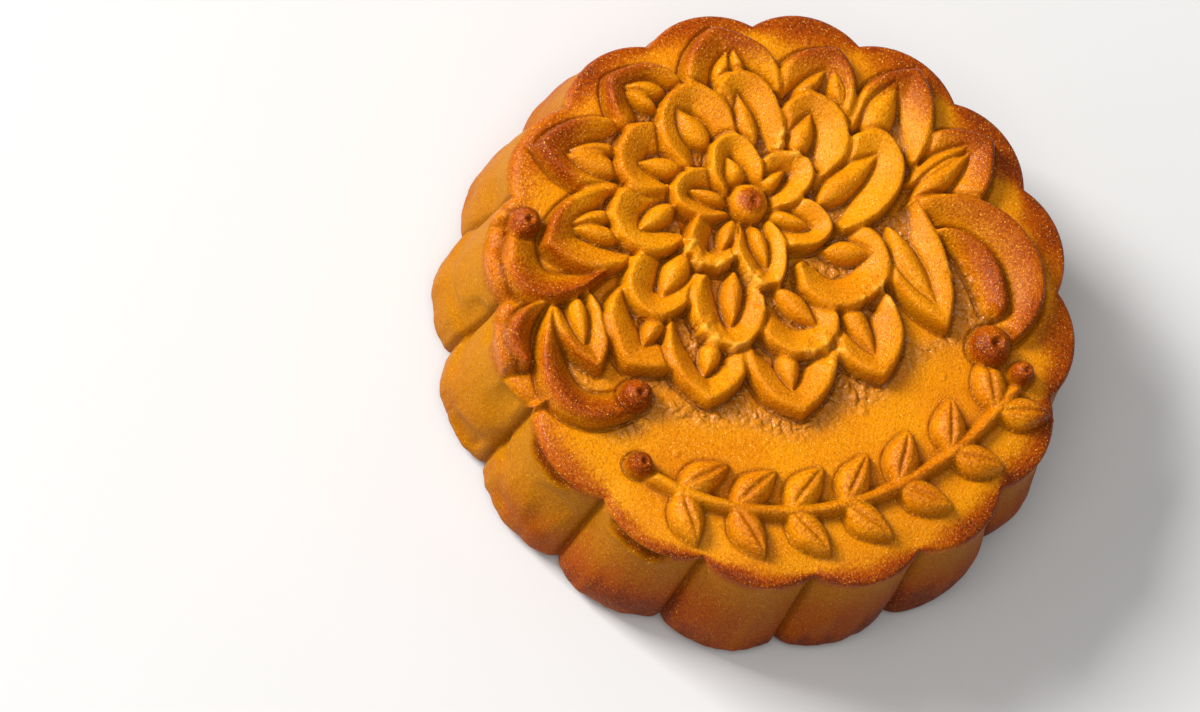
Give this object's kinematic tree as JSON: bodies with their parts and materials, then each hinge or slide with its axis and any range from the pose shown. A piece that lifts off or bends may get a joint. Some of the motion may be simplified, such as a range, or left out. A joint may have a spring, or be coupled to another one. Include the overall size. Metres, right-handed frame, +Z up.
{
  "type": "mooncake",
  "caption": "Round baked mooncake with a fluted wall, a flat base and a moulded flower, scrolls and leaf spray on its top.",
  "frame": {"origin": "middle of the flat base that the cake rests on", "axes": "+Z up through the moulded top; +Y through the lobe that the flower leans towards; +X to the right of it seen from above"},
  "size_m": [0.082, 0.082, 0.0258],
  "materials": {
    "crust": "golden baked crust with a thin egg glaze, browned on its edges"
  },
  "bodies": {
    "root": {"mooncake": "crust"}
  },
  "joints": []
}
